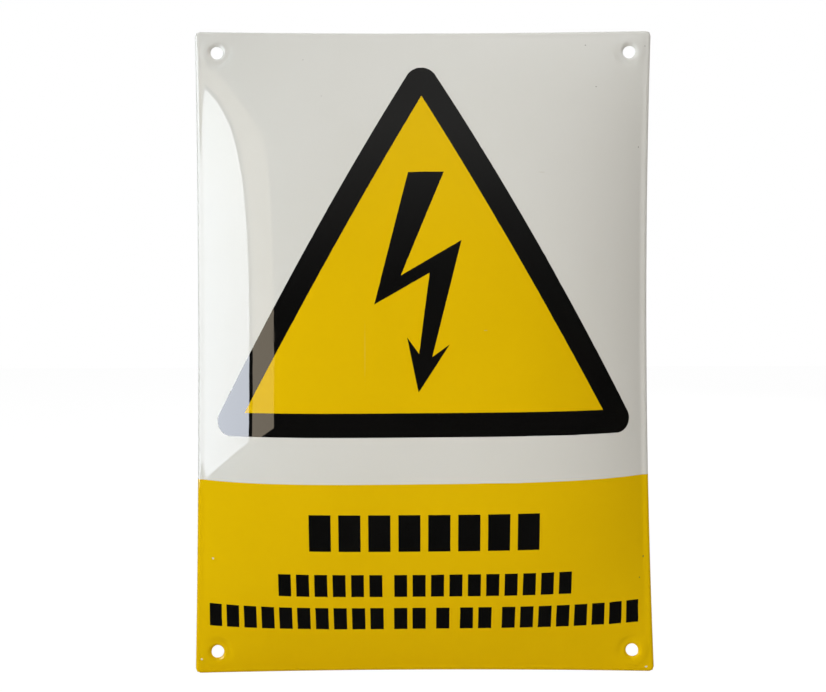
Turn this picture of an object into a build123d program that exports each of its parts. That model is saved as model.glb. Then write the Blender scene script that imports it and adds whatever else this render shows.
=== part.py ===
"""Domed enamelled-steel warning plate for a pylon, mast or fence, held by four corner screws.

The plate is one pressed sheet. It stands upright as it hangs: +X to the reader's right,
+Z up, and its printed face looks towards -Y. The origin is the middle of the four screw
holes, on the plane of the rim's flat back, which is the wall. All sizes are in millimetres.
"""
from math import cos, pi, radians, tan
import os

from build123d import *

# The sheet, with its fired enamel on both sides
sheet_thickness = 1.5
front_edge_radius = 1.2
back_edge_bevel = 0.2

# The outline over its corners, and how far pressing has drawn in the middle of each edge
corner_width = 212.0
corner_height = 297.0
corner_radius = 2.2
draw_in_left = 1.4
draw_in_right = 2.7
draw_in_top = 0.95
draw_in_bottom = 1.15

# The pressed dome: its rise over the rim, how full it is each way, and the bend at its foot
flat_rim_width = 2.1
dome_rise = 15.0
fullness_across = 3.33
fullness_up = 2.91
bend_radius = 4.0

# The screw holes, each with a rolled front lip, a flat seat and a short collar to the wall
hole_inset_side = 10.5
hole_inset_end = 10.3
hole_diameter = 5.8
hole_lip_reach = 1.1
hole_lip_depth = 0.8
seat_flat_width = 1.8
seat_wall_slope = 30.0

# How finely the pressed skins are sampled, across and up, and fitted
samples_across = 32
samples_up = 40
skin_tolerance = 0.01

# Sizes worked out from those above
half_width = corner_width / 2
half_height = corner_height / 2
foot_half_x = half_width - flat_rim_width
foot_half_z = half_height - flat_rim_width
hole_x = half_width - hole_inset_side
hole_z = half_height - hole_inset_end
hole_radius = hole_diameter / 2
lip_radius = hole_radius + hole_lip_reach
lip_depth = min(hole_lip_depth, 0.9 * sheet_thickness)
seat_radius = lip_radius + seat_flat_width
collar_radius = hole_radius + sheet_thickness
back_bevel = min(back_edge_bevel, 0.15 * sheet_thickness)
front_rounding = min(front_edge_radius, 0.8 * sheet_thickness, 0.6 * flat_rim_width)

# How far the bodies that form the plate run on past it, and a seat's root below the rim
spare_depth = 5.0
root_spare = 0.7


def rise_share(inward, half_span, fullness, skin_radius):
    """Share of the dome's rise at a distance inward from the foot of its slope."""
    steepness = dome_rise * fullness / half_span
    bend_run = skin_radius * steepness
    reach = half_span - bend_run / 2
    if inward >= bend_run:
        return 1 - ((half_span - inward) / reach) ** fullness
    part_way = inward / bend_run
    top_share = 1 - ((half_span - bend_run) / reach) ** fullness
    top_slope = fullness / reach * ((half_span - bend_run) / reach) ** (fullness - 1)
    climb = top_share * (3 * part_way**2 - 2 * part_way**3)
    return climb + top_slope * bend_run * (part_way**3 - part_way**2)


def skin_point(across, up, skin_radius, level):
    """Point of a pressed skin: across and up run from -1 to 1 between the feet of its slopes."""
    draw_x = draw_in_left if across < 0 else draw_in_right
    draw_z = draw_in_bottom if up < 0 else draw_in_top
    half_x = foot_half_x - draw_x * (1 - up**2)
    half_z = foot_half_z - draw_z * (1 - across**2)
    share_x = rise_share(half_x * (1 - abs(across)), half_x, fullness_across, skin_radius)
    share_z = rise_share(half_z * (1 - abs(up)), half_z, fullness_up, skin_radius)
    rise = dome_rise * share_x * share_z
    return Vector(across * half_x, -level - rise, up * half_z)


def pressed_body(blank, skin_radius, level):
    """Blank whose front face gives way to a pressed skin that rises from the given level."""
    stations_across = [-cos(pi * step / samples_across) for step in range(samples_across + 1)]
    stations_up = [-cos(pi * step / samples_up) for step in range(samples_up + 1)]
    rows = [
        [skin_point(across, up, skin_radius, level) for across in stations_across]
        for up in stations_up
    ]
    skin = Face.make_surface_from_array_of_points(rows, tol=skin_tolerance)
    front, *other_faces = blank.faces().sort_by(Axis.Y)
    rim = Face(front.outer_wire(), [Wire(skin.edges())])
    return Solid(Shell([rim, skin, *other_faces]))


# A seat lies as high over the rim as the dome would at the middle of the hole
seat_share_x = rise_share(foot_half_x - hole_x, foot_half_x, fullness_across, bend_radius)
seat_share_z = rise_share(foot_half_z - hole_z, foot_half_z, fullness_up, bend_radius)
seat_rise = dome_rise * seat_share_x * seat_share_z
seat_wall_run = 1 / tan(radians(seat_wall_slope))
seat_cut_height = seat_radius / seat_wall_run
root_depth = seat_rise + root_spare
on_its_base = (Align.CENTER, Align.CENTER, Align.MIN)
under_its_top = (Align.CENTER, Align.CENTER, Align.MAX)


def press_screw_seats(level):
    """Flatten a pressed skin round each hole, at the seats' rise over the given level."""
    with Locations(Plane.XZ.offset(level + seat_rise)):
        with GridLocations(2 * hole_x, 2 * hole_z, 2, 2):
            root_radius = seat_radius + root_depth * seat_wall_run
            Cone(root_radius, seat_radius, root_depth, align=under_its_top)
            mouth_radius = seat_radius + seat_cut_height * seat_wall_run
            Cone(seat_radius, mouth_radius, seat_cut_height, align=on_its_base, mode=Mode.SUBTRACT)


# Everything behind the plate's front, in an outline whose edges draw in between the corners
with BuildPart() as behind_front:
    with BuildSketch(Plane.XZ.offset(sheet_thickness)):
        with BuildLine():
            left_bottom = (-half_width, -half_height)
            left_top = (-half_width, half_height)
            right_top = (half_width, half_height)
            right_bottom = (half_width, -half_height)
            ThreePointArc(left_bottom, (0, draw_in_bottom - half_height), right_bottom)
            ThreePointArc(right_bottom, (half_width - draw_in_right, 0), right_top)
            ThreePointArc(right_top, (0, half_height - draw_in_top), left_top)
            ThreePointArc(left_top, (draw_in_left - half_width, 0), left_bottom)
        make_face()
        fillet(vertices(), corner_radius)
    extrude(amount=-sheet_thickness - spare_depth)
    fillet(faces().sort_by(Axis.Y)[0].edges(), front_rounding)
    add(pressed_body(behind_front.part, bend_radius, sheet_thickness), mode=Mode.REPLACE)
    press_screw_seats(sheet_thickness)

# Everything behind the plate's back, one sheet further on, without the collars of the holes
with BuildPart() as behind_back:
    with BuildSketch(Plane.XZ):
        Rectangle(corner_width + 2 * spare_depth, corner_height + 2 * spare_depth)
    extrude(amount=-2 * spare_depth)
    add(pressed_body(behind_back.part, bend_radius + sheet_thickness, 0), mode=Mode.REPLACE)
    press_screw_seats(0)
    with Locations(Plane.XZ):
        with GridLocations(2 * hole_x, 2 * hole_z, 2, 2):
            Cylinder(collar_radius, seat_rise, align=on_its_base, mode=Mode.SUBTRACT)

# The punch of a hole: a straight bore that rolls out, as a quarter of an ellipse, to the seat
seat_front = sheet_thickness + seat_rise
with BuildPart() as hole_punch:
    with BuildSketch(Plane.XZ):
        with BuildLine():
            roll_centre = (lip_radius, seat_front - lip_depth)
            EllipticalCenterArc(roll_centre, hole_lip_reach, lip_depth, 90, arc_size=90)
            Polyline(
                (hole_radius, seat_front - lip_depth),
                (hole_radius, -spare_depth),
                (0, -spare_depth),
                (0, seat_front + spare_depth),
                (lip_radius, seat_front + spare_depth),
                (lip_radius, seat_front),
            )
        make_face()
    revolve(axis=Axis.Z)

with BuildPart() as sign_plate:
    add(behind_front.part)
    add(behind_back.part, mode=Mode.SUBTRACT)
    rim_back = faces().filter_by(Plane.XZ).group_by(Axis.Y)[-1].sort_by(SortBy.AREA)[-1]
    chamfer(rim_back.outer_wire().edges(), back_bevel)
    with Locations(Plane.XZ):
        with GridLocations(2 * hole_x, 2 * hole_z, 2, 2):
            add(hole_punch.part, mode=Mode.SUBTRACT)

sign_plate.part.label = "sign_plate"

os.makedirs("parts", exist_ok=True)
export_step(sign_plate.part, "parts/sign_plate.step")
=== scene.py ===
"""Dresses a domed, enamelled high-voltage plate and sets it up for its portrait.

The plate is blanked, punched, thickened and pressed as the real sheet is. Its fields of
enamel are then cut from copies of the pressed skin, so that they lie on the dome as print
does. Lengths are in metres, in the frame's own axes: +X to the reader's right, +Z up, and
the printed face looks towards -Y.
"""
from __future__ import annotations

import logging
import math
from collections.abc import Callable, Iterator, Sequence
from contextlib import contextmanager
from dataclasses import dataclass, field
from enum import Enum

import bpy
from mathutils import Matrix, Vector

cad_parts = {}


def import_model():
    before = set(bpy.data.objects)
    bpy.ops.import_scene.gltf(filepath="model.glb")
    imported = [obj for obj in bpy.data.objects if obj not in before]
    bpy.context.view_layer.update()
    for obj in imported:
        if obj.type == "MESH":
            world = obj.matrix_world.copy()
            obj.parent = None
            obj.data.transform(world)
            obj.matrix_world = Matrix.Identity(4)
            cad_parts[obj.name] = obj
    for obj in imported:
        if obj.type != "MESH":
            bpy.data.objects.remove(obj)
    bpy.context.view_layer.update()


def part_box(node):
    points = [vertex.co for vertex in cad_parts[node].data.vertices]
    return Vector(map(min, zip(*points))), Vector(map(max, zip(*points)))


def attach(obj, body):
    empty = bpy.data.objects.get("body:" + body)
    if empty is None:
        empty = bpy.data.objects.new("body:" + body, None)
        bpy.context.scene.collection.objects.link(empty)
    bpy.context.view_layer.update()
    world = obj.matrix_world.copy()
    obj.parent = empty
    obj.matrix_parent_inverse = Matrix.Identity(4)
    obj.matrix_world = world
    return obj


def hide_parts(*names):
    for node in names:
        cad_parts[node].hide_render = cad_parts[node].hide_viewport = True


MM = 0.001

# Names in the frame
PLATE_NODE = "sign_plate"
BODY = "root"

# A difference that counts as none, and the gap over which the seams of patches close
THIN = 0.001 * MM
SEAM_GAP = 0.002 * MM

# How far the yellow and the black stand over the white, and the floor under the plate
YELLOW_BUILD = 0.02 * MM
BLACK_BUILD = 0.05 * MM
FLOOR_GAP = 0.2 * MM

Piece = bpy.types.Object
Face = bpy.types.MeshPolygon
Material = bpy.types.Material
Socket = bpy.types.NodeSocket
Point = tuple[float, float]
Cut = tuple[Point, Point]
Colour = tuple[float, float, float]
PURE_WHITE: Colour = (1.0, 1.0, 1.0)

# The plate's materials, in their order
FRONT_COAT = 0
BACK_COAT = 1

# Faces that lean back by less than this share of their normal count as walls
WALL_LEAN = 0.3

# The mean of noise, its finer layers, and where the soft steps made of it begin and end
NOISE_MEAN = 0.5
FEW_LAYERS = 1.0
SOME_LAYERS = 2.0
MANY_LAYERS = 4.0
CLOUD_STEP = (0.35, 0.70)
SMUDGE_STEP = (0.48, 0.75)
PATCH_STEP = (0.40, 0.70)

# The soft edge of a fleck, in shares of its radius, and how coarsely and how far it frays
FLECK_STEP = (0.65, 1.15)
FRAY_SIZE = 0.5 * MM
FRAY_REACH = 1.2

# Sockets of a Mix node that mixes colours, which share their names with its other sockets
MIX_SHARE = 0
MIX_START = 6
MIX_END = 7
MIX_RESULT = 2

log = logging.getLogger("warning_plate")


class Slot(Enum):
    """Material slots of the record."""

    WHITE = "white_enamel"
    YELLOW = "yellow_enamel"
    BLACK = "black_enamel"
    GROUND = "ground_enamel"


class SelectMode(Enum):
    """What edit mode selects, as Blender's three switches."""

    VERTEX = (True, False, False)
    EDGE = (False, True, False)
    FACE = (False, False, True)


def clamped(share: float) -> float:
    """Keep a share between 0 and 1."""
    return min(1.0, max(0.0, share))


def select_only(piece: Piece) -> None:
    """Select one object, make it active and deselect the rest.

    Args:
        piece: The object.
    """
    bpy.ops.object.select_all(action="DESELECT")
    piece.select_set(True)
    bpy.context.view_layer.objects.active = piece


@contextmanager
def editing(piece: Piece, mode: SelectMode) -> Iterator[None]:
    """Hold a piece in edit mode while operators shape it.

    Args:
        piece: The mesh object to edit.
        mode: What is selected there: vertices, edges or faces.
    """
    select_only(piece)
    bpy.context.tool_settings.mesh_select_mode = mode.value
    bpy.ops.object.mode_set(mode="EDIT")
    yield
    bpy.ops.object.mode_set(mode="OBJECT")


def clear_selection(mesh: bpy.types.Mesh) -> None:
    """Deselect every vertex, edge and face of a mesh."""
    for part in (mesh.vertices, mesh.edges, mesh.polygons):
        part.foreach_set("select", [False] * len(part))


def remove_faces(piece: Piece, unwanted: Callable[[Face], bool]) -> None:
    """Delete the faces of a piece that pass a test.

    Args:
        piece: The mesh object.
        unwanted: The test.
    """
    clear_selection(piece.data)
    faces = piece.data.polygons
    faces.foreach_set("select", [unwanted(face) for face in faces])
    with editing(piece, SelectMode.FACE):
        bpy.ops.mesh.delete(type="FACE")


def added(name: str, primitive: Callable[..., set[str]], **sizes: object) -> Piece:
    """Add a primitive, with its place and size in its mesh.

    Args:
        name: Name of the object and its mesh.
        primitive: The operator that adds it.
        **sizes: What the operator is given.

    Returns:
        The object.
    """
    bpy.ops.object.select_all(action="DESELECT")
    primitive(**sizes)
    piece = bpy.context.active_object
    piece.name = piece.data.name = name
    bpy.ops.object.transform_apply(location=True, rotation=True, scale=True)
    return piece


def copy_of(piece: Piece, name: str) -> Piece:
    """Copy a piece, with a mesh of its own.

    Args:
        piece: The mesh object to copy.
        name: Name of the copy and its mesh.

    Returns:
        The copy, linked to the scene.
    """
    twin = piece.copy()
    twin.data = piece.data.copy()
    twin.name = twin.data.name = name
    bpy.context.collection.objects.link(twin)
    return twin


def apply_solidify(piece: Piece, thickness: float, offset: float) -> None:
    """Give a piece a wall.

    Args:
        piece: The mesh object.
        thickness: Thickness of the wall.
        offset: -1 for a wall behind the faces, 1 for one in front of them.
    """
    select_only(piece)
    wall = piece.modifiers.new("wall", "SOLIDIFY")
    wall.thickness = thickness
    wall.offset = offset
    bpy.ops.object.modifier_apply(modifier=wall.name)


def shade_smooth(piece: Piece, sharp_over: float = 40.0) -> None:
    """Shade a piece smooth, apart from edges sharper than an angle in degrees."""
    select_only(piece)
    bpy.ops.object.shade_smooth_by_angle(angle=math.radians(sharp_over))


class Value:
    """A number in a shader, which Python's arithmetic turns into Math nodes."""

    def __init__(self, sheet: ShaderSheet, socket: Socket) -> None:
        """Wrap an output socket of a shader sheet."""
        self.sheet = sheet
        self.socket = socket

    def _math(self, operation: str, *terms: Value | float) -> Value:
        """Add a Math node with its inputs in order, and return its result."""
        inputs = dict(enumerate(terms))
        return self.sheet.value("ShaderNodeMath", {"operation": operation}, inputs)

    def __add__(self, other: Value | float) -> Value:
        """Return the sum."""
        return self._math("ADD", self, other)

    __radd__ = __add__

    def __sub__(self, other: Value | float) -> Value:
        """Return the difference."""
        return self._math("SUBTRACT", self, other)

    def __rsub__(self, other: float) -> Value:
        """Return a number less this value."""
        return self._math("SUBTRACT", other, self)

    def __mul__(self, other: Value | float) -> Value:
        """Return the product."""
        return self._math("MULTIPLY", self, other)

    __rmul__ = __mul__

    def __truediv__(self, other: Value | float) -> Value:
        """Return the quotient."""
        return self._math("DIVIDE", self, other)

    def __rtruediv__(self, other: float) -> Value:
        """Return a number divided by this value."""
        return self._math("DIVIDE", other, self)

    def root(self) -> Value:
        """Return the square root."""
        return self._math("SQRT", self)

    def over(self, other: Value | float) -> Value:
        """Return the larger of two values."""
        return self._math("MAXIMUM", self, other)

    def ramp(self, low: float, high: float) -> Value:
        """Return a soft step that climbs from 0 at low to 1 at high."""
        inputs = {"Value": self, "From Min": low, "From Max": high}
        return self.sheet.value("ShaderNodeMapRange", {"interpolation_type": "SMOOTHSTEP"}, inputs)


class ShaderSheet:
    """The node tree of one material or world."""

    def __init__(self, owner: Material | bpy.types.World) -> None:
        """Empty a node tree.

        Args:
            owner: The material or world that is to be shaded.
        """
        owner.use_nodes = True
        self.tree = owner.node_tree
        self.tree.nodes.clear()

    def node(
        self,
        kind: str,
        settings: dict[str, object] | None = None,
        inputs: dict[str | int, object] | None = None,
    ) -> bpy.types.Node:
        """Add a node.

        Args:
            kind: The node's type.
            settings: Its own settings, which are set first.
            inputs: Values or links of its sockets, by name or number.

        Returns:
            The node.
        """
        node = self.tree.nodes.new(kind)
        for name, setting in (settings or {}).items():
            setattr(node, name, setting)
        for name, given in (inputs or {}).items():
            socket = node.inputs[name]
            if isinstance(given, Value):
                self.tree.links.new(given.socket, socket)
            elif isinstance(given, Socket):
                self.tree.links.new(given, socket)
            else:
                socket.default_value = given
        return node

    def value(
        self,
        kind: str,
        settings: dict[str, object] | None = None,
        inputs: dict[str | int, object] | None = None,
    ) -> Value:
        """Add a node, as node() does, and wrap its first output."""
        return Value(self, self.node(kind, settings, inputs).outputs[0])

    def place(self) -> tuple[Socket, Value, Value, Value]:
        """Read where a point of the piece is.

        Returns:
            The point, and its X, Y and Z.
        """
        point = self.node("ShaderNodeTexCoord").outputs["Object"]
        parts = self.node("ShaderNodeSeparateXYZ", inputs={"Vector": point})
        x, y, z = (Value(self, part) for part in parts.outputs)
        return point, x, y, z

    def noise(self, point: Socket, size: float, detail: float = SOME_LAYERS) -> Value:
        """Return noise from 0 to 1, by the width of its blots and its finer layers."""
        inputs = {"Vector": point, "Scale": 1 / size, "Detail": detail}
        return self.value("ShaderNodeTexNoise", inputs=inputs)

    def blend(self, share: Value | float, start: object, end: object) -> Socket:
        """Mix two colours.

        Args:
            share: 0 for the first colour, 1 for the second.
            start: The first colour, or its socket.
            end: The second colour, or its socket.

        Returns:
            The mixed colour.
        """
        inputs = {MIX_SHARE: share, MIX_START: opaque(start), MIX_END: opaque(end)}
        mix = self.node("ShaderNodeMix", {"data_type": "RGBA"}, inputs)
        return mix.outputs[MIX_RESULT]

    def glow(self, kind: str, colour: object, strength: float) -> Socket:
        """Add a background or an emission, and return its shader."""
        inputs = {"Color": opaque(colour), "Strength": strength}
        return self.node(kind, inputs=inputs).outputs[0]

    def rays(self, *names: str) -> Value:
        """Tell the rays of some sorts, by the names of their sockets, from all others.

        Args:
            *names: Sockets of the Light Path node.

        Returns:
            1 where a ray is of any of those sorts, and 0 elsewhere.
        """
        outputs = self.node("ShaderNodeLightPath").outputs
        seen = Value(self, outputs[names[0]])
        for name in names[1:]:
            seen = seen.over(Value(self, outputs[name]))
        return seen

    def finish(self, kind: str, shader: Socket) -> None:
        """Send a shader to the output node of a material or a world."""
        self.node(kind, inputs={"Surface": shader})


def opaque(colour: object) -> object:
    """Give a colour its alpha, and pass a socket through."""
    return (*colour, 1.0) if isinstance(colour, tuple) and len(colour) == 3 else colour


@dataclass(frozen=True)
class Fleck:
    """A small chip, speck or scratch in the enamel, in millimetres.

    Attributes:
        x: Place across the plate.
        z: Place up the plate.
        width: Its width.
        height: Its height.
        colour: What shows there.
        strength: How much of that colour shows.
    """

    x: float
    z: float
    width: float
    height: float
    colour: Colour
    strength: float = 1.0


CHIP: Colour = (0.82, 0.80, 0.74)
SPECK: Colour = (0.10, 0.08, 0.06)
SCUFF: Colour = (0.55, 0.50, 0.40)


@dataclass(frozen=True)
class Enamel:
    """A fired glass enamel: its colour, its gloss, how it flowed and where it is marked.

    Attributes:
        slot: The record's material slot.
        colour: Base colour.
        tint: Colour that it drifts to in broad, faint clouds.
        drift: How far it drifts.
        roughness: Roughness where it is clean.
        smudge: Roughness that fingers and dust add in patches.
        ior: Index of refraction of the glass, which sets how strongly it mirrors.
        peel: Height of the waves that it froze in.
        cloud_size: Width of a cloud.
        smudge_size: Width of a patch of smudges.
        peel_size: Width of a wave.
        flecks: Its chips, specks and scratches.
    """

    slot: Slot
    colour: Colour
    tint: Colour
    drift: float = 0.35
    roughness: float = 0.012
    smudge: float = 0.02
    ior: float = 1.42
    peel: float = 0.010 * MM
    cloud_size: float = 45 * MM
    smudge_size: float = 16 * MM
    peel_size: float = 7 * MM
    flecks: tuple[Fleck, ...] = ()

    def material(self) -> Material:
        """Make the material.

        Returns:
            The material, which is named after its slot.
        """
        material = bpy.data.materials.new(self.slot.value)
        sheet = ShaderSheet(material)
        point, x, _, z = sheet.place()
        clouds = sheet.noise(point, self.cloud_size).ramp(*CLOUD_STEP)
        colour = sheet.blend(clouds * self.drift, self.colour, self.tint)
        frayed = sheet.noise(point, FRAY_SIZE, FEW_LAYERS) - NOISE_MEAN
        for fleck in self.flecks:
            across = (x - fleck.x * MM) / (fleck.width * MM / 2)
            up = (z - fleck.z * MM) / (fleck.height * MM / 2)
            reach = (across * across + up * up).root() + frayed * FRAY_REACH
            mask = 1 - reach.ramp(*FLECK_STEP)
            colour = sheet.blend(mask * fleck.strength, colour, fleck.colour)
        smudges = sheet.noise(point, self.smudge_size, MANY_LAYERS).ramp(*SMUDGE_STEP)
        waves = sheet.noise(point, self.peel_size, FEW_LAYERS)
        bump = sheet.node("ShaderNodeBump", inputs={"Height": waves, "Distance": self.peel})
        shader = sheet.node(
            "ShaderNodeBsdfPrincipled",
            inputs={
                "Base Color": colour,
                "Roughness": smudges * self.smudge + self.roughness,
                "IOR": self.ior,
                "Normal": bump.outputs["Normal"],
            },
        )
        sheet.finish("ShaderNodeOutputMaterial", shader.outputs["BSDF"])
        return material


WHITE = Enamel(
    slot=Slot.WHITE,
    colour=(0.80, 0.795, 0.765),
    tint=(0.77, 0.765, 0.725),
    flecks=(
        Fleck(74.81, 140.66, 0.7, 0.6, SPECK, 0.6),
        Fleck(78.8, 120.21, 0.9, 0.5, SPECK, 0.5),
        Fleck(102.74, 140.76, 0.6, 0.7, SPECK, 0.5),
        Fleck(99.15, 93.68, 0.6, 0.8, SPECK, 0.5),
        Fleck(-54.88, 132.98, 0.6, 0.6, SPECK, 0.3),
        Fleck(-45.9, 114.63, 0.5, 0.5, SPECK, 0.3),
        Fleck(52.06, 78.81, 3.2, 0.4, SCUFF, 0.35),
    ),
)
YELLOW = Enamel(
    slot=Slot.YELLOW,
    colour=(0.88, 0.563, 0.002),
    tint=(0.825, 0.525, 0.001),
    flecks=(
        Fleck(-102.77, -141.56, 1.1, 0.9, CHIP),
        Fleck(101.84, -145.75, 1.2, 0.8, CHIP),
        Fleck(-96.68, -94.37, 1.1, 1.0, CHIP, 0.8),
        Fleck(84.19, -123.4, 0.9, 0.8, CHIP, 0.7),
        Fleck(100.55, -94.77, 0.8, 0.9, SPECK, 0.7),
        Fleck(98.55, -104.25, 0.7, 0.7, SPECK, 0.6),
        Fleck(-25.95, -0.5, 0.35, 25, SCUFF, 0.12),
        Fleck(26.42, 8.78, 1.8, 0.4, SCUFF, 0.4),
    ),
)
BLACK = Enamel(
    slot=Slot.BLACK,
    colour=(0.0035, 0.0035, 0.0035),
    tint=(0.0075, 0.007, 0.0065),
    smudge=0.06,
    ior=1.83,
)
GROUND = Enamel(
    slot=Slot.GROUND,
    colour=(0.028, 0.033, 0.044),
    tint=(0.045, 0.049, 0.058),
    roughness=0.22,
    smudge=0.16,
    ior=1.5,
    peel=0.03 * MM,
    peel_size=2.5 * MM,
)


@dataclass(frozen=True)
class PressForm:
    """The shape that the press gives the sheet, with the heights measured from the wall.

    Attributes:
        corner_width: Width over the corners.
        corner_height: Height over the corners.
        corner_radius: Radius of each corner.
        draw_left: How far the middle of the left edge is drawn in.
        draw_right: The same for the right edge.
        draw_top: The same for the top edge.
        draw_bottom: The same for the bottom edge.
        flat_rim: Width of the rim.
        lift_left: Height of the rim's inner edge over its outer one, halfway up the left side.
        lift_right: The same on the right. Between the two it changes evenly.
        dome_rise: Rise of the dome over the outline.
        fullness_across: Power of the dome's profile across the plate.
        fullness_up: Power of its profile up the plate.
        front_bend: Radius of the bend at the foot of the slope, on the front.
        back_bend: The same on the back.
        hole_x: Half the distance between the holes, across.
        hole_z: Half the distance between them, up.
        hole_radius: Radius of a bore at its waist.
        lip_reach: Width of the rolled lip round a bore.
        lip_depth: Depth of that lip.
        bore_foot: Radius to which a bore widens at the wall.
        collar_radius: Outer radius of the collar that carries a seat down to the wall.
        seat_flat: Width of the flat of a seat.
        seat_blend: Width over which a seat runs out into the dome.
        sheet: Thickness of the enamelled sheet, without its print.
        edge_reach: How far the edge's front roll reaches in from the outline.
        edge_drop: How far that roll falls.
        edge_back: How far the roll of the edge's back reaches in.
        back_turns: Shares of a quarter turn at which that roll has its points.
        edge_power: Power of the edge's front roll, where 2 is a plain ellipse.
        lip_power: The same for the lips of the holes.
        print_build: Room that is left for the print, where it wraps round the edge.
        settling_rounds: Rounds in which an inverse is worked out.
    """

    corner_width: float = 212.0 * MM
    corner_height: float = 297.0 * MM
    corner_radius: float = 2.2 * MM
    draw_left: float = 1.4 * MM
    draw_right: float = 2.7 * MM
    draw_top: float = 0.95 * MM
    draw_bottom: float = 1.15 * MM
    flat_rim: float = 2.7 * MM
    lift_left: float = 0.68 * MM
    lift_right: float = 0.30 * MM
    dome_rise: float = 15.0 * MM
    fullness_across: float = 3.33
    fullness_up: float = 2.91
    front_bend: float = 4.0 * MM
    back_bend: float = 5.5 * MM
    hole_x: float = 95.5 * MM
    hole_z: float = 138.2 * MM
    hole_radius: float = 2.9 * MM
    lip_reach: float = 1.6 * MM
    lip_depth: float = 1.0 * MM
    bore_foot: float = 3.45 * MM
    collar_radius: float = 4.4 * MM
    seat_flat: float = 0.8 * MM
    seat_blend: float = 3.0 * MM
    sheet: float = 1.42 * MM
    edge_reach: float = 2.0 * MM
    edge_drop: float = 1.25 * MM
    edge_back: float = 0.35 * MM
    back_turns: tuple[float, ...] = (0.3, 0.6, 0.85)
    edge_power: float = 2.0
    lip_power: float = 1.6
    print_build: float = 0.06 * MM
    settling_rounds: int = 4

    def inset(self, inward: float) -> Point:
        """Return half the width and half the height over the corners, less an inset."""
        return self.corner_width / 2 - inward, self.corner_height / 2 - inward

    @property
    def corner_centre(self) -> Point:
        """Centre of the round of the upper right corner."""
        return self.inset(self.print_build + self.corner_radius)

    @property
    def flat_radius(self) -> float:
        """Radius of the corners inside the roll of the edge."""
        return self.corner_radius - self.edge_reach

    @property
    def lip_radius(self) -> float:
        """Radius at which a seat rolls over into its bore."""
        return self.hole_radius + self.lip_reach

    @property
    def seat_rise(self) -> float:
        """Height of a seat over the rim, which is the dome's at the middle of the hole."""
        return self.dome(self.hole_x, self.hole_z, self.front_bend)

    def core(self, place: Vector) -> Vector:
        """Find the nearest point between the centres of the corners' rounds.

        Args:
            place: A place on the blank.

        Returns:
            That point, at the same depth.
        """
        core_x, core_z = self.corner_centre
        x = max(-core_x, min(core_x, place.x))
        z = max(-core_z, min(core_z, place.z))
        return Vector((x, place.y, z))

    def pull(self, x: float, z: float) -> Point:
        """Return how far the edges nearest to a place are drawn in, sideways and up or down."""
        sideways = self.draw_left if x < 0 else self.draw_right
        return sideways, self.draw_bottom if z < 0 else self.draw_top

    def drawn(self, x: float, z: float) -> Point:
        """Move a point of the flat blank to where pressing draws it in.

        Args:
            x: Place across the flat blank.
            z: Place up the flat blank.

        Returns:
            The place that it is drawn to.
        """
        half_x, half_z = self.inset(self.print_build)
        pull_x, pull_z = self.pull(x, z)
        across = x / half_x
        up = z / half_z
        return x - pull_x * across * (1 - up**2), z - pull_z * up * (1 - across**2)

    def undrawn(self, x: float, z: float) -> Point:
        """Find the point of the flat blank that pressing draws to a place.

        Args:
            x: Place across the pressed plate.
            z: Place up the pressed plate.

        Returns:
            The place on the flat blank.
        """
        flat_x, flat_z = x, z
        for _ in range(self.settling_rounds):
            there_x, there_z = self.drawn(flat_x, flat_z)
            flat_x += x - there_x
            flat_z += z - there_z
        return flat_x, flat_z

    def rim_lift(self, x: float) -> float:
        """Return how high the rim's inner edge is over its outer one, halfway along a side."""
        return self.lift_left + (self.lift_right - self.lift_left) * (x / self.corner_width + 0.5)

    def share(
        self, inward: float, half_span: float, fullness: float, bend: float, lift: float
    ) -> float:
        """Work out how much of the rise is reached.

        Args:
            inward: Distance inward from the foot of the slope.
            half_span: Distance from that foot to the middle.
            fullness: Power of the profile.
            bend: Radius of the bend at the foot.
            lift: Height of the rim's inner edge over its outer one.

        Returns:
            A share of the dome's rise, from 0 at the foot to about 1 in the middle.
        """
        if inward <= 0:
            return 0.0
        start = lift / self.flat_rim / (self.dome_rise - lift)
        run = bend * self.dome_rise * fullness / half_span
        reach = half_span - run / 2 * (1 - start * half_span / fullness)
        if inward >= run:
            return 1 - ((half_span - inward) / reach) ** fullness
        part_way = inward / run
        top = 1 - ((half_span - run) / reach) ** fullness
        slope = fullness / reach * ((half_span - run) / reach) ** (fullness - 1)
        climb = top * (3 * part_way**2 - 2 * part_way**3)
        climb += start * run * (part_way**3 - 2 * part_way**2 + part_way)
        return climb + slope * run * (part_way**3 - part_way**2)

    def dome(self, x: float, z: float, bend: float) -> float:
        """Work out the dome's height over the outline, its tilted rim included.

        Args:
            x: Place across the plate.
            z: Place up the plate.
            bend: Radius of the bend at the foot of the slope.

        Returns:
            The height, which is 0 along the outline.
        """
        foot_x, foot_z = self.inset(self.flat_rim)
        pull_x, pull_z = self.pull(x, z)
        across = x / foot_x
        up = z / foot_z
        for _ in range(self.settling_rounds):
            half_x = foot_x - pull_x * (1 - up**2)
            half_z = foot_z - pull_z * (1 - across**2)
            across = x / half_x
            up = z / half_z
        inward_x = half_x * (1 - abs(across))
        inward_z = half_z * (1 - abs(up))
        lift = self.rim_lift(x)
        share_x = self.share(inward_x, half_x, self.fullness_across, bend, lift)
        share_z = self.share(inward_z, half_z, self.fullness_up, bend, lift)
        both = share_x * share_z
        on_rim = max(0.0, 1 + min(0.0, inward_x, inward_z) / self.flat_rim)
        return (self.dome_rise - lift) * both + lift * (share_x + share_z - both) * on_rim

    def hole_near(self, x: float, z: float) -> tuple[Point, float]:
        """Return the nearest hole's middle and the distance to it."""
        middle = (math.copysign(self.hole_x, x), math.copysign(self.hole_z, z))
        return middle, math.hypot(x - middle[0], z - middle[1])

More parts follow.
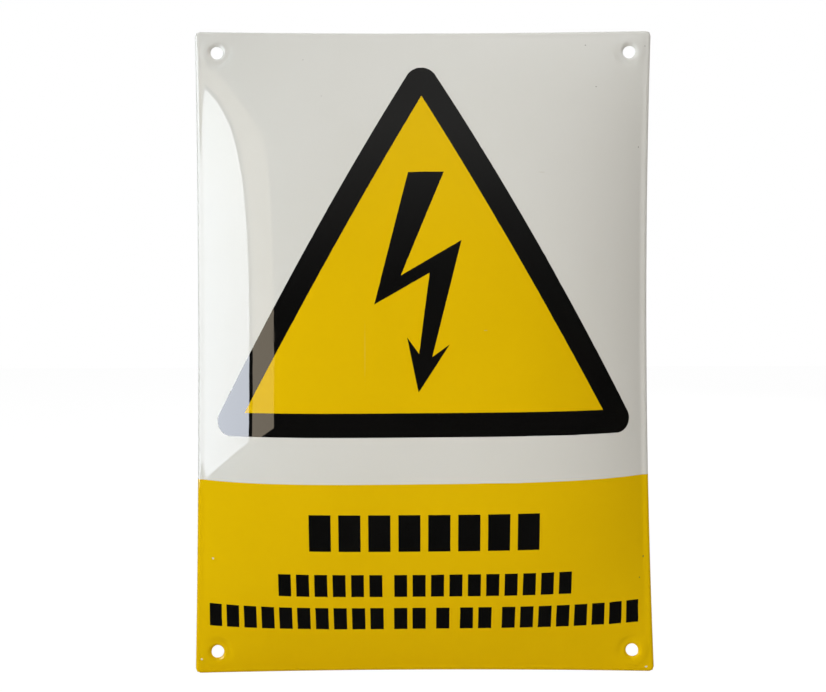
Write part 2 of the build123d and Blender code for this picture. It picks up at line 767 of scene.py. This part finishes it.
    def skin(self, x: float, z: float, bend: float) -> float:
        """Work out the height of a pressed skin, which is flat round each hole.

        Args:
            x: Place across the plate.
            z: Place up the plate.
            bend: Radius of the bend at the foot of the slope.

        Returns:
            The height over the outline.
        """
        height = self.dome(x, z, bend)
        _, distance = self.hole_near(x, z)
        part_way = clamped((distance - self.lip_radius - self.seat_flat) / self.seat_blend)
        ease = part_way**2 * (3 - 2 * part_way)
        return self.seat_rise * (1 - ease) + height * ease

    def edge_profile(self, steps: int) -> list[Point]:
        """Draw the section of the plate's edge.

        Args:
            steps: Points of the front roll.

        Returns:
            Points from the back to the front, each as its reach out and its height over the wall.
        """
        edge_foot = self.edge_reach - self.edge_back
        waist = self.sheet - self.edge_drop
        points = [(edge_foot / 2, 0.0), (edge_foot, 0.0)]
        for share in self.back_turns:
            turn = math.pi / 2 * share
            reach = edge_foot + self.edge_back * math.sin(turn)
            points.append((reach, waist * (1 - math.cos(turn))))
        for step in range(steps, 0, -1):
            out = math.sin(math.pi / 2 * step / steps) ** (2 / self.edge_power)
            fall = self.roll(out, self.edge_drop, self.edge_power)
            points.append((self.edge_reach * out, self.sheet - fall))
        return points

    def roll(self, out: float, drop: float, power: float) -> float:
        """Return how far a roll has fallen at a share of its reach."""
        return drop * (1 - (1 - out**power) ** (1 / power))

    def lip_drop(self, distance: float) -> float:
        """Return how far the rolled lip falls away at a distance from a hole's middle."""
        inward = clamped((self.lip_radius - distance) / self.lip_reach)
        return self.roll(inward, self.lip_depth, self.lip_power)

    def front_place(self, x: float, z: float) -> Vector:
        """Press a point of the blank's front, the lips of the holes included.

        Args:
            x: Place across the plate.
            z: Place up the plate.

        Returns:
            Where the point ends up.
        """
        _, distance = self.hole_near(x, z)
        height = self.skin(x, z, self.front_bend) - self.lip_drop(distance)
        return Vector((x, -self.sheet - height, z))

    def back_place(self, x: float, z: float) -> Vector:
        """Press a point of the blank's back, the collars of the holes included.

        Args:
            x: Place across the plate.
            z: Place up the plate.

        Returns:
            Where the point ends up.
        """
        middle, distance = self.hole_near(x, z)
        if distance > self.lip_radius + THIN:
            return Vector((x, -self.skin(x, z, self.back_bend), z))
        inward = clamped((self.lip_radius - distance) / self.lip_reach)
        whole_way = self.seat_rise + self.collar_radius - self.bore_foot
        way = math.asin(inward) / (math.pi / 2) * whole_way
        down = max(0.0, self.seat_rise - way)
        radius = self.collar_radius - max(0.0, way - self.seat_rise)
        turn = radius / distance
        return Vector((
            middle[0] + (x - middle[0]) * turn,
            -down,
            middle[1] + (z - middle[1]) * turn,
        ))


@dataclass
class PressedPlate:
    """The steel sheet: a flat blank that is punched, thickened, rounded and pressed.

    Attributes:
        form: The shape that the press gives it.
        cells_across: Cells of the blank's grid, across.
        cells_up: Cells of the blank's grid, up.
        edge_crowding: Size of a cell at the edges, as a share of an even one.
        punch_half: Half the side of the square of cells that a hole takes out.
        square_steps: How far each ring goes from that square to the first circle.
        first_circle: Radius of that circle, which lies inside the square.
        closing_rings: Rings between that circle and the lip.
        lip_rings: Rings round the rolled lip.
        edge_steps: Steps that make the front roll of the edge.
    """

    form: PressForm = field(default_factory=PressForm)
    cells_across: int = 150
    cells_up: int = 210
    edge_crowding: float = 0.25
    punch_half: float = 7.6 * MM
    square_steps: tuple[float, ...] = (0.35, 0.70, 1.0)
    first_circle: float = 6.8 * MM
    closing_rings: int = 5
    lip_rings: int = 8
    edge_steps: int = 9

    def build(self) -> Piece:
        """Make the plate.

        Returns:
            The plate, with white faces to the front and ground coat behind.
        """
        plate = self.blank()
        self.punch(plate)
        apply_solidify(plate, self.form.sheet, -1)
        self.cut_edge(plate)
        self.press(plate)
        shade_smooth(plate)
        self.dress(plate)
        return plate

    def blank(self) -> Piece:
        """Lay out the flat blank.

        Returns:
            Its front, with its cells crowded towards the edges.
        """
        plate = added(
            "plate",
            bpy.ops.mesh.primitive_grid_add,
            x_subdivisions=self.cells_across,
            y_subdivisions=self.cells_up,
            size=2.0,
            location=(0, 0, 0),
            rotation=(math.pi / 2, 0, 0),
        )
        flat_x, flat_z = self.form.inset(self.form.print_build + self.form.edge_reach)
        for vertex in plate.data.vertices:
            x = flat_x * self.crowded(vertex.co.x)
            z = flat_z * self.crowded(vertex.co.z)
            x, z = self.corner_rounded(x, z)
            vertex.co = (x, -self.form.sheet, z)
        return plate

    def crowded(self, share: float) -> float:
        """Shift an even share of the half span towards the nearer edge."""
        even = self.edge_crowding * share
        return even + (1 - self.edge_crowding) * math.sin(math.pi / 2 * share)

    def corner_rounded(self, x: float, z: float) -> Point:
        """Turn the square of cells in each corner into a quarter of a disc.

        Args:
            x: Place across the blank.
            z: Place up the blank.

        Returns:
            The place that the point moves to.
        """
        radius = self.form.flat_radius
        core_x, core_z = self.form.corner_centre
        across = (abs(x) - core_x) / radius
        up = (abs(z) - core_z) / radius
        if across <= 0 or up <= 0:
            return x, z
        if across > up:
            turn = math.pi / 4 * up / across
        else:
            turn = math.pi / 2 - math.pi / 4 * across / up
        out = radius * max(across, up)
        return (
            math.copysign(core_x + out * math.cos(turn), x),
            math.copysign(core_z + out * math.sin(turn), z),
        )

    def flat_holes(self) -> list[Vector]:
        """Find where the holes go in the flat blank.

        Returns:
            The middles of the holes.
        """
        middles = []
        for side, end in ((-1, -1), (-1, 1), (1, -1), (1, 1)):
            x, z = self.form.undrawn(side * self.form.hole_x, end * self.form.hole_z)
            middles.append(Vector((x, -self.form.sheet, z)))
        return middles

    def punch(self, plate: Piece) -> None:
        """Take a square of cells out at each hole, and close in on the bore with rings.

        Args:
            plate: The blank's front.
        """
        middles = self.flat_holes()
        remove_faces(plate, lambda face: any(
            max(abs(face.center.x - middle.x), abs(face.center.z - middle.z)) < self.punch_half
            for middle in middles
        ))
        with editing(plate, SelectMode.EDGE):
            bpy.ops.mesh.select_all(action="DESELECT")
            bpy.ops.mesh.select_non_manifold(extend=False, use_wire=False)
        mesh = plate.data
        for edge in mesh.edges:
            start = mesh.vertices[edge.vertices[0]].co
            edge.select = edge.select and not self.on_outer_edge(start)
        kept = {index for edge in mesh.edges if edge.select for index in edge.vertices}
        for vertex in mesh.vertices:
            vertex.select = vertex.index in kept
        for radius, share in self.rings():
            with editing(plate, SelectMode.EDGE):
                bpy.ops.mesh.extrude_edges_move()
            for vertex in mesh.vertices:
                if not vertex.select:
                    continue
                middle = min(middles, key=lambda hole: (vertex.co - hole).length)
                arm = vertex.co - middle
                goal = arm.normalized() * radius
                vertex.co = middle + arm.lerp(goal, share)

    def rings(self) -> list[tuple[float, float]]:
        """List the rings round a hole.

        Returns:
            Each ring's radius, and how far it has turned from a square into a circle.
        """
        rings = [(self.first_circle, step) for step in self.square_steps]
        to_lip = self.form.lip_radius - self.first_circle
        for ring in range(1, self.closing_rings + 1):
            rings.append((self.first_circle + to_lip * ring / self.closing_rings, 1.0))
        for ring in range(1, self.lip_rings + 1):
            inward = math.sin(math.pi / 2 * ring / self.lip_rings) ** (2 / self.form.lip_power)
            rings.append((self.form.lip_radius - self.form.lip_reach * inward, 1.0))
        return rings

    def on_outer_edge(self, place: Vector) -> bool:
        """Say whether a point of the flat blank is at the outline's edge."""
        return (place - self.form.core(place)).length > self.form.flat_radius - THIN

    def cut_edge(self, plate: Piece) -> None:
        """Cut the blank's square edge across and round it.

        Args:
            plate: The thickened blank.
        """
        form = self.form
        mesh = plate.data
        clear_selection(mesh)
        for edge in mesh.edges:
            start, end = (mesh.vertices[index] for index in edge.vertices)
            crosses = abs(start.co.y - end.co.y) > form.sheet / 2
            if crosses and self.on_outer_edge(start.co):
                edge.select = start.select = end.select = True
        profile = form.edge_profile(self.edge_steps)
        with editing(plate, SelectMode.EDGE):
            bpy.ops.mesh.subdivide(number_cuts=len(profile))
        for vertex in mesh.vertices:
            height = -vertex.co.y
            if not THIN < height < form.sheet - THIN:
                continue
            out, new_height = profile[round(height / form.sheet * (len(profile) + 1)) - 1]
            vertex.co += (vertex.co - form.core(vertex.co)).normalized() * out
            vertex.co.y = -new_height

    def press(self, plate: Piece) -> None:
        """Draw the blank in and dome it, front and back each to their own skin.

        Args:
            plate: The blank, with its edge rounded.
        """
        form = self.form
        for vertex in plate.data.vertices:
            height = -vertex.co.y
            x, z = form.drawn(vertex.co.x, vertex.co.z)
            if height > form.sheet - THIN:
                vertex.co = form.front_place(x, z)
            elif height < THIN:
                vertex.co = form.back_place(x, z)
            else:
                vertex.co = (x, -height - form.skin(x, z, form.front_bend), z)

    def dress(self, plate: Piece) -> None:
        """Give the front and edges white enamel, and the back its ground coat.

        Args:
            plate: The pressed plate.
        """
        plate.data.materials.append(WHITE.material())
        plate.data.materials.append(GROUND.material())
        for face in plate.data.polygons:
            _, distance = self.form.hole_near(face.center.x, face.center.z)
            in_bore = distance < self.form.bore_foot
            behind = face.normal.y > WALL_LEAN or self.on_collar(face)
            face.material_index = BACK_COAT if behind and not in_bore else FRONT_COAT

    def on_collar(self, face: Face) -> bool:
        """Say whether a face is on the outer wall of a hole's collar, behind the plate.

        Args:
            face: A face of the pressed plate.

        Returns:
            True on such a wall.
        """
        _, distance = self.form.hole_near(face.center.x, face.center.z)
        beside = distance > self.form.lip_radius - THIN
        within = distance < self.form.collar_radius + self.form.seat_flat
        steep = abs(face.normal.y) <= WALL_LEAN
        return beside and within and steep


@dataclass
class Skin:
    """The printable front of the pressed plate, from which the fields are cut.

    Attributes:
        source: Copy of the plate's front, edges and bores.
    """

    source: Piece

    @classmethod
    def of(cls, plate: Piece) -> Skin:
        """Peel the white skin off a copy of the plate.

        Args:
            plate: The finished plate.

        Returns:
            Its skin.
        """
        source = copy_of(plate, "skin")
        remove_faces(source, lambda face: face.material_index == BACK_COAT)
        source.data.materials.clear()
        return cls(source)

    def cut(self, name: str, corners: Sequence[Point], chords: Sequence[Cut] = ()) -> Piece:
        """Cut a convex patch out of the skin.

        Args:
            name: Name of the patch.
            corners: Corners of the patch, clockwise or not, in millimetres across and up.
            chords: More cuts, each a point in millimetres and an outward direction.

        Returns:
            The patch, as an open sheet that lies on the plate.
        """
        patch = copy_of(self.source, name)
        trims = list(chords) + edge_cuts_of(corners)
        with editing(patch, SelectMode.VERTEX):
            for (x, z), (out_x, out_z) in trims:
                bpy.ops.mesh.select_all(action="SELECT")
                bpy.ops.mesh.bisect(
                    plane_co=(x * MM, 0, z * MM),
                    plane_no=(out_x, 0, out_z),
                    clear_outer=True,
                )
        return patch

    def discard(self) -> None:
        """Delete the skin, once everything is cut from it."""
        mesh = self.source.data
        bpy.data.objects.remove(self.source)
        bpy.data.meshes.remove(mesh)


def middle_of(corners: Sequence[Point]) -> Vector:
    """Find the middle of an outline.

    Args:
        corners: The outline's corners.

    Returns:
        The mean of the corners.
    """
    middle = Vector((0.0, 0.0))
    for corner in corners:
        middle += Vector(corner) / len(corners)
    return middle


def edge_cuts_of(corners: Sequence[Point]) -> list[Cut]:
    """Turn the edges of a convex outline into cuts.

    Args:
        corners: The outline's corners, in order.

    Returns:
        A point on each edge, and the direction out of the outline there.
    """
    middle = middle_of(corners)
    cuts = []
    for start, end in zip(corners, [*corners[1:], *corners[:1]]):
        run = Vector((end[0] - start[0], end[1] - start[1])).normalized()
        out = Vector((run.y, -run.x))
        if out.dot(middle - Vector(start)) > 0:
            out = -out
        cuts.append((start, (out.x, out.y)))
    return cuts


def crossing(first: Cut, second: Cut) -> Point:
    """Find where two lines cross.

    Args:
        first: A point on the first line, and its outward direction.
        second: The same for the second line.

    Returns:
        The point that lies on both.
    """
    (x1, z1), (a1, b1) = first
    (x2, z2), (a2, b2) = second
    c1 = a1 * x1 + b1 * z1
    c2 = a2 * x2 + b2 * z2
    size = a1 * b2 - a2 * b1
    return (c1 * b2 - c2 * b1) / size, (a1 * c2 - a2 * c1) / size


def joined(name: str, patches: Sequence[Piece]) -> Piece:
    """Join patches that share their edges into one sheet.

    Args:
        name: Name of the sheet.
        patches: The patches, which become part of the first.

    Returns:
        The sheet, with its seams closed.
    """
    select_only(patches[0])
    for patch in patches[1:]:
        patch.select_set(True)
    if len(patches) > 1:
        bpy.ops.object.join()
    sheet = patches[0]
    sheet.name = sheet.data.name = name
    with editing(sheet, SelectMode.VERTEX):
        bpy.ops.mesh.select_all(action="SELECT")
        bpy.ops.mesh.remove_doubles(threshold=SEAM_GAP)
    return sheet


def enter(piece: Piece) -> None:
    """Enter a finished piece in its body, and report it.

    Args:
        piece: The piece.
    """
    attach(piece, BODY)
    log.info("%s: %d faces", piece.name, len(piece.data.polygons))


@dataclass(frozen=True)
class Print:
    """An enamel that is printed on the plate and fired.

    Attributes:
        slot: The record's material slot.
        material: Its material.
        build: How far it stands over the white.
    """
    # slot: The record's material slot. Not used.

    slot: Slot
    material: Material
    build: float

    def fire(self, name: str, patches: Sequence[Piece]) -> None:
        """Turn open patches on the plate into one finished coat.

        Args:
            name: Name of the finished piece.
            patches: The patches, cut to their outlines.
        """
        sheet = joined(name, patches)
        apply_solidify(sheet, self.build, 1)
        sheet.data.materials.append(self.material)
        shade_smooth(sheet)
        enter(sheet)


@dataclass
class WarningTriangle:
    """The black-bordered yellow triangle, as it is printed, in millimetres on the plate.

    Attributes:
        outer: Outer corners of the border, sharp: the apex, the right and the left.
        inner: Inner corners of the border, in the same order.
        corner_radii: Radii that round the outer corners, in the same order.
        chord_count: Steps in which a corner is rounded.
        lap: How far the yellow runs under the border.
    """

    outer: tuple[Point, ...] = ((-1.08, 135.97), (97.75, -37.01), (-98.38, -38.01))
    inner: tuple[Point, ...] = ((-0.97, 114.43), (79.6, -26.54), (-80.22, -27.33))
    corner_radii: tuple[float, ...] = (7.2, 6.5, 6.5)
    chord_count: int = 10
    lap: float = 0.6

    def rounding(self) -> list[Cut]:
        """Work out the cuts that round the outer corners.

        Returns:
            A cut for each chord.
        """
        edges = edge_cuts_of(self.outer)
        cuts = []
        for before, after, radius in zip([edges[-1], *edges[:-1]], edges, self.corner_radii):
            inset = [
                ((point[0] - out[0] * radius, point[1] - out[1] * radius), out)
                for point, out in (before, after)
            ]
            centre = Vector(crossing(*inset))
            for step in range(1, self.chord_count):
                out = Vector(before[1]).slerp(Vector(after[1]), step / self.chord_count)
                point = centre + out * radius
                cuts.append(((point.x, point.y), (out.x, out.y)))
        return cuts

    def build(self, skin: Skin, yellow: Print, black: Print) -> None:
        """Cut the yellow field and the black border, and fire them.

        Args:
            skin: The plate's printable skin.
            yellow: The yellow enamel.
            black: The black enamel.
        """
        # The corners of an even triangle move out twice as far as its sides
        field_corners = []
        middle = middle_of(self.inner)
        for corner in self.inner:
            arm = Vector(corner) - middle
            field_corners.append(tuple(middle + arm * (1 + 2 * self.lap / arm.length)))
        yellow.fire("triangle_field", [skin.cut("triangle_field", field_corners)])
        sides = []
        for number, start in enumerate(self.outer):
            after = (number + 1) % len(self.outer)
            corners = (start, self.outer[after], self.inner[after], self.inner[number])
            sides.append(skin.cut(f"side_{number}", corners, self.rounding()))
        black.fire("triangle_border", sides)


@dataclass
class LightningArrow:
    """The black lightning arrow, in millimetres on the plate, corner by corner."""

    top_left: Point = (-7.01, 78.57)
    top_right: Point = (8.62, 78.66)
    inner_notch: Point = (-10.3, 32.86)
    right_tip: Point = (16.15, 48.29)
    right_neck: Point = (3.25, -2.62)
    right_barb: Point = (10.85, 2.81)
    point: Point = (-2.74, -18.12)
    left_barb: Point = (-7.6, 5.86)
    left_neck: Point = (-2.47, -1.27)
    crook: Point = (2.21, 34.0)
    left_tip: Point = (-21.87, 20.22)

    def patches(self) -> list[tuple[Point, ...]]:
        """Split the arrow.

        Returns:
            The corners of convex patches that share whole edges.
        """
        return [
            (self.top_left, self.top_right, self.inner_notch, self.left_tip),
            (self.inner_notch, self.crook, self.left_tip),
            (self.inner_notch, self.right_tip, self.crook),
            (self.right_tip, self.right_neck, self.left_neck, self.crook),
            (self.right_neck, self.right_barb, self.point),
            (self.left_neck, self.right_neck, self.point),
            (self.left_barb, self.left_neck, self.point),
        ]

    def build(self, skin: Skin, black: Print) -> None:
        """Cut the arrow from the skin and fire it black.

        Args:
            skin: The plate's printable skin.
            black: The black enamel.
        """
        cuts = []
        for number, corners in enumerate(self.patches()):
            cuts.append(skin.cut(f"arrow_{number}", corners))
        black.fire("lightning_arrow", cuts)


@dataclass
class YellowBand:
    """The yellow field over the foot of the plate, rim, edges and holes included.

    Attributes:
        corners: Its corners in millimetres, which lie beyond the plate, as print runs off it.
    """

    corners: tuple[Point, ...] = ((-120, -58.91), (120, -57.03), (120, -160), (-120, -160))

    def build(self, skin: Skin, yellow: Print) -> None:
        """Cut the band from the skin and fire it yellow."""
        yellow.fire("yellow_band", [skin.cut("yellow_band", self.corners)])


@dataclass
class BlockLine:
    """A row of plain black blocks on the yellow band.

    Attributes:
        name: Name of the row.
        left: Its left end, in millimetres.
        right: Its right end.
        foot: Height of its foot at the middle of the plate.
        height: Height of the blocks.
        groups: How many blocks each group has, in turn.
        gap: Gap between blocks.
        group_gap: Gap between groups.
        tilt: Rise of the row for each millimetre across.
    """

    name: str
    left: float
    right: float
    foot: float
    height: float
    groups: tuple[int, ...]
    gap: float
    group_gap: float
    tilt: float = 0.0045

    def blocks(self) -> list[tuple[float, float]]:
        """Divide the row into blocks.

        Returns:
            The left and right edge of each block, in millimetres.
        """
        count = sum(self.groups)
        gaps = (count - len(self.groups)) * self.gap + (len(self.groups) - 1) * self.group_gap
        width = (self.right - self.left - gaps) / count
        spans = []
        start = self.left
        for group in self.groups:
            for _ in range(group):
                spans.append((start, start + width))
                start += width + self.gap
            start += self.group_gap - self.gap
        return spans

    def build(self, skin: Skin, black: Print) -> None:
        """Cut the row from the skin, open its gaps and fire it black.

        Args:
            skin: The plate's printable skin.
            black: The black enamel.
        """
        spans = self.blocks()
        foot_left = self.foot + self.tilt * self.left
        foot_right = self.foot + self.tilt * self.right
        corners = (
            (self.left, foot_left),
            (self.right, foot_right),
            (self.right, foot_right + self.height),
            (self.left, foot_left + self.height),
        )
        row = skin.cut(self.name, corners)
        with editing(row, SelectMode.VERTEX):
            for edge in [edge for span in spans for edge in span]:
                bpy.ops.mesh.select_all(action="SELECT")
                bpy.ops.mesh.bisect(plane_co=(edge * MM, 0, 0), plane_no=(1, 0, 0))
        remove_faces(row, lambda face: not any(
            start < face.center.x / MM < end for start, end in spans
        ))
        black.fire(self.name, [row])


def block_lines() -> list[BlockLine]:
    """Lay out the rows of blocks.

    Returns:
        The three rows, from the top.
    """
    return [
        BlockLine("heading_blocks", -51.2, 50.4, -88.09, 16.5, (8,), 3.4, 3.4),
        BlockLine("second_row_blocks", -65.6, 65.5, -109.24, 10.4, (6, 10), 2.4, 5.2),
        BlockLine("third_row_blocks", -98.6, 97.9, -125.05, 10.4, (10, 2, 1, 2, 8), 2.3, 4.7),
    ]


@dataclass
class Card:
    """A flat or boxed card that only the plate's gloss sees.

    Attributes:
        name: Its name.
        low: Its lowest corner.
        high: Its highest corner.
        colour: Its colour at the top.
        strength: How bright it is, where 1 is white.
        foot_colour: Its colour at the foot, where that differs.
        blend_heights: Heights between which it goes from one colour to the other.
        mottle: How much of the foot colour shows in patches.
        mottle_size: Width of those patches.
        open_ways: Its ends that are left out: -1 for the front one, 1 for the rear one.
    """

    name: str
    low: tuple[float, float, float]
    high: tuple[float, float, float]
    colour: Colour
    strength: float
    foot_colour: Colour | None = None
    blend_heights: tuple[float, float] | None = None
    mottle: float = 0.0
    mottle_size: float = 0.12
    open_ways: tuple[int, ...] = ()

    def build(self) -> None:
        """Put the card up and hide it from everything but reflections."""
        middle = (Vector(self.low) + Vector(self.high)) / 2
        size = Vector(self.high) - Vector(self.low)
        cube = bpy.ops.mesh.primitive_cube_add
        card = added(self.name, cube, size=1, location=middle, scale=size)
        if self.open_ways:
            remove_faces(card, lambda face: round(face.normal.y) in self.open_ways)
        material = bpy.data.materials.new(self.name)
        sheet = ShaderSheet(material)
        point, _, _, z = sheet.place()
        foot_colour = self.foot_colour or self.colour
        heights = self.blend_heights or (self.low[2], self.high[2])
        colour = sheet.blend(z.ramp(*heights), foot_colour, self.colour)
        patches = sheet.noise(point, self.mottle_size, MANY_LAYERS).ramp(*PATCH_STEP)
        colour = sheet.blend(patches * self.mottle, colour, foot_colour)
        glow = sheet.glow("ShaderNodeEmission", colour, self.strength)
        sheet.finish("ShaderNodeOutputMaterial", glow)
        card.data.materials.append(material)
        for ray in ("camera", "diffuse", "transmission", "volume_scatter", "shadow"):
            setattr(card, f"visible_{ray}", False)


DAYLIGHT: Colour = (0.90, 0.97, 1.0)
SOFT_LIGHT: Colour = (1.0, 0.98, 0.95)
LAMPLIGHT: Colour = (1.0, 0.93, 0.83)


@dataclass
class Lamp:
    """A soft rectangular lamp.

    Attributes:
        name: Its name.
        place: Where its middle is. It points at the plate's middle.
        size: Its width and height.
        radiance: How bright its face is, where 1 is white.
        colour: Its colour.
    """

    name: str
    place: tuple[float, float, float]
    size: tuple[float, float]
    radiance: float
    colour: Colour = PURE_WHITE

    def build(self) -> None:
        """Hang the lamp, unseen in reflections, which the cards take care of."""
        light = bpy.data.lights.new(self.name, "AREA")
        light.shape = "RECTANGLE"
        light.size, light.size_y = self.size
        light.energy = self.radiance * math.pi * self.size[0] * self.size[1]
        light.color = self.colour
        lamp = bpy.data.objects.new(self.name, light)
        place = Vector(self.place)
        turn = (-place).to_track_quat("-Z", "Y")
        lamp.matrix_world = Matrix.Translation(place) @ turn.to_matrix().to_4x4()
        lamp.visible_camera = False
        lamp.visible_glossy = False
        bpy.context.collection.objects.link(lamp)


@dataclass
class Camera:
    """The photograph's camera.

    Attributes:
        place: Where it is.
        yaw: How far it turns to the right, in radians.
        pitch: How far it turns down.
        roll: How far it leans to the right.
        lens: Its focal length in millimetres.
        sensor_width: Width of its sensor in millimetres.
        clip_start: Distance at which it starts to see.
    """

    place: Vector = field(default_factory=lambda: Vector((-5.398, -247.535, 1.237)) * MM)
    yaw: float = 0.0013
    pitch: float = -0.0042
    roll: float = 0.0032
    lens: float = 23.235
    sensor_width: float = 36.0
    clip_start: float = 0.01

    def build(self) -> None:
        """Set up the camera and make it the scene's."""
        camera = bpy.data.cameras.new("camera")
        camera.lens = self.lens
        camera.sensor_width = self.sensor_width
        camera.clip_start = self.clip_start
        holder = bpy.data.objects.new("camera", camera)
        level = Matrix.Rotation(math.pi / 2, 4, "X")
        turn = Matrix.Rotation(-self.yaw, 4, "Y") @ Matrix.Rotation(-self.pitch, 4, "X")
        turn = turn @ Matrix.Rotation(-self.roll, 4, "Z")
        holder.matrix_world = Matrix.Translation(self.place) @ level @ turn
        bpy.context.collection.objects.link(holder)
        bpy.context.scene.camera = holder


@dataclass
class Studio:
    """The floor, the white surroundings, the lamps and the cards round the plate.

    Attributes:
        floor_height: Height of the floor, just under the plate.
        floor_size: Width of the floor.
        fill: Brightness of the even light from all round.
        shadow_share: How much of the floor's own shading the camera sees.
        glow: How bright the rest of what it sees of the floor is, where 1 is white.
        pale: The floor's own colour.
    """

    floor_height: float
    floor_size: float = 8.0
    fill: float = 0.10
    shadow_share: float = 0.10
    glow: float = 1.09
    pale: Colour = (0.58, 0.58, 0.57)

    def build(self) -> None:
        """Put everything up."""
        self.surround()
        self.lay_floor()
        for lamp in self.lamps():
            lamp.build()
        for card in self.cards():
            card.build()

    def surround(self) -> None:
        """Make the world white to look at, and an even grey light on the plate."""
        world = bpy.data.worlds.new("surround")
        bpy.context.scene.world = world
        sheet = ShaderSheet(world)
        seen = sheet.rays("Is Camera Ray", "Is Glossy Ray", "Is Transmission Ray")
        grey = sheet.glow("ShaderNodeBackground", PURE_WHITE, self.fill)
        white = sheet.glow("ShaderNodeBackground", PURE_WHITE, 1.0)
        mix = sheet.node("ShaderNodeMixShader", inputs={0: seen, 1: grey, 2: white})
        sheet.finish("ShaderNodeOutputWorld", mix.outputs[0])

    def lay_floor(self) -> None:
        """Lay a pale floor that shows the camera little but the plate's shadow."""
        place = (0, 0, self.floor_height)
        plane = bpy.ops.mesh.primitive_plane_add
        floor = added("floor", plane, size=self.floor_size, location=place)
        material = bpy.data.materials.new("pale_floor")
        sheet = ShaderSheet(material)
        seen = sheet.rays("Is Camera Ray") * (1 - self.shadow_share)
        matt = sheet.node("ShaderNodeBsdfDiffuse", inputs={"Color": opaque(self.pale)}).outputs[0]
        white = sheet.glow("ShaderNodeEmission", PURE_WHITE, self.glow)
        mix = sheet.node("ShaderNodeMixShader", inputs={0: seen, 1: matt, 2: white})
        sheet.finish("ShaderNodeOutputMaterial", mix.outputs[0])
        floor.data.materials.append(material)
        floor.visible_glossy = False

    def lamps(self) -> list[Lamp]:
        """List the lamps.

        Returns:
            The window's light, soft ones in front and overhead, and one for the back.
        """
        return [
            Lamp("window_light", (-2.10, -0.81, -0.30), (2.20, 2.30), 5.6, DAYLIGHT),
            Lamp("front_light", (0.0, -0.42, -0.02), (0.26, 0.25), 2.9, LAMPLIGHT),
            Lamp("top_light", (0.15, -0.15, 0.65), (0.40, 0.20), 7.4, SOFT_LIGHT),
            Lamp("back_light", (0.9, 0.9, 0.9), (0.6, 0.6), 8.0),
        ]

    def cards(self) -> list[Card]:
        """List the cards that the gloss mirrors.

        Returns:
            The window, the wall by it, the dim room and the passage behind the plate.
        """
        return [
            Card(
                "window_card", (-0.701, -0.622, -0.207), (-0.700, -0.08, 0.580),
                (0.93, 0.97, 1.0), 8.2, (0.72, 0.76, 0.84), mottle=0.5, mottle_size=0.05,
            ),
            Card(
                "wall_card", (-0.701, -0.940, -0.222), (-0.700, -0.662, 0.760),
                (1.0, 0.86, 0.66), 1.75,
            ),
            Card(
                "room_card", (-1.3, -1.9, -1.3), (1.6, 0.60, 1.7),
                (0.19, 0.187, 0.18), 1.0, (0.012, 0.011, 0.010), (0.0, 1.9), open_ways=(1,),
            ),
            Card(
                "passage_card", (-1.3, 0.60, -1.3), (1.6, 2.50, 1.7),
                PURE_WHITE, 0.8, (0.03, 0.03, 0.035), (-1.1, 1.0), open_ways=(-1, 1),
            ),
        ]


def main() -> None:
    """Dress the plate, piece by piece, and set up its portrait."""
    logging.basicConfig(level=logging.INFO, format="%(name)s: %(message)s")
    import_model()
    low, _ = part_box(PLATE_NODE)
    Camera().build()

    plate = PressedPlate().build()
    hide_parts(PLATE_NODE)
    enter(plate)

    yellow = Print(Slot.YELLOW, YELLOW.material(), YELLOW_BUILD)
    black = Print(Slot.BLACK, BLACK.material(), BLACK_BUILD)
    skin = Skin.of(plate)
    YellowBand().build(skin, yellow)
    WarningTriangle().build(skin, yellow, black)
    LightningArrow().build(skin, black)
    for line in block_lines():
        line.build(skin, black)
    skin.discard()

    Studio(floor_height=low[2] - FLOOR_GAP).build()
    bpy.context.scene.view_settings.view_transform = "Standard"


if __name__ == "__main__":
    main()
